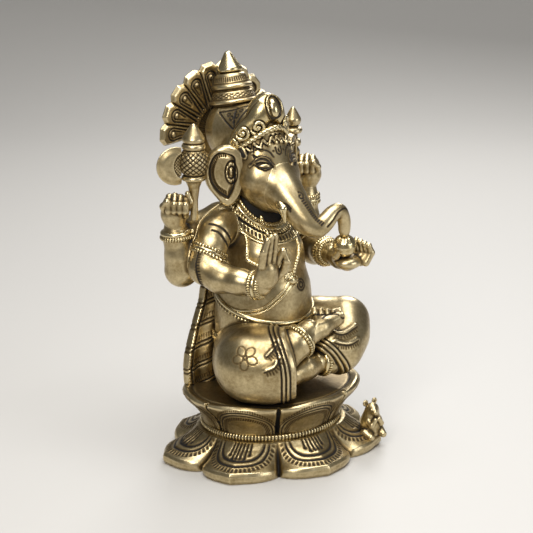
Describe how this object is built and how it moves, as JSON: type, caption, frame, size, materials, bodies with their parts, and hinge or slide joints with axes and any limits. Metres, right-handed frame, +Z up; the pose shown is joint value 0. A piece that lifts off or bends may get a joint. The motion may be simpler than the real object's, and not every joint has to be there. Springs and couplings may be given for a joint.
{
  "type": "ganesha idol",
  "caption": "Seated four-armed Ganesha idol in antiqued cast brass, with a feather halo, on a flared lotus seat and a petalled lotus base.",
  "frame": {"origin": "on the table, at the middle of the lotus base's outline box", "axes": "+Z up, the idol faces -Y, and +X is its own left hand side"},
  "size_m": [0.1794, 0.1488, 0.3081],
  "materials": {
    "antique_brass": "satin cast brass with dark patina in the recesses",
    "bright_brass": "polished brass trim",
    "steel": "plain turned steel"
  },
  "bodies": {
    "root": {"lotus_base": "antique_brass", "beaded_collar": "bright_brass", "lotus_seat": "antique_brass", "seat_bolts": "steel", "figure_bolts": "steel", "torso": "antique_brass", "waist_belt": "bright_brass", "belly_cord": "bright_brass", "sacred_thread": "bright_brass", "necklace": "bright_brass", "pendant": "bright_brass", "right_leg": "antique_brass", "left_leg": "antique_brass", "right_foot": "antique_brass", "left_foot": "antique_brass", "right_anklet": "bright_brass", "left_anklet": "bright_brass", "back_shawl": "antique_brass", "head": "antique_brass", "trunk": "antique_brass", "right_tusk": "bright_brass", "left_tusk": "bright_brass", "right_ear": "antique_brass", "left_ear": "antique_brass", "crown_bowl": "antique_brass", "crown_band": "bright_brass", "diadem": "bright_brass", "diadem_jewel": "bright_brass", "crown_lower_tier": "antique_brass", "crown_upper_tier": "antique_brass", "crown_finial": "bright_brass", "feather_halo": "antique_brass", "halo_strut": "antique_brass", "right_front_arm": "antique_brass", "right_front_hand": "antique_brass", "right_front_bracelet": "bright_brass", "right_armlet": "bright_brass", "left_front_arm": "antique_brass", "left_front_hand": "antique_brass", "left_front_bracelet": "bright_brass", "left_armlet": "bright_brass", "right_rear_arm": "antique_brass", "right_rear_hand": "antique_brass", "right_rear_bracelet": "bright_brass", "left_rear_arm": "antique_brass", "left_rear_hand": "antique_brass", "left_rear_bracelet": "bright_brass", "mace": "antique_brass", "axe_blade": "antique_brass", "goad_staff": "antique_brass", "modak": "bright_brass", "mouse": "antique_brass"}
  },
  "joints": []
}
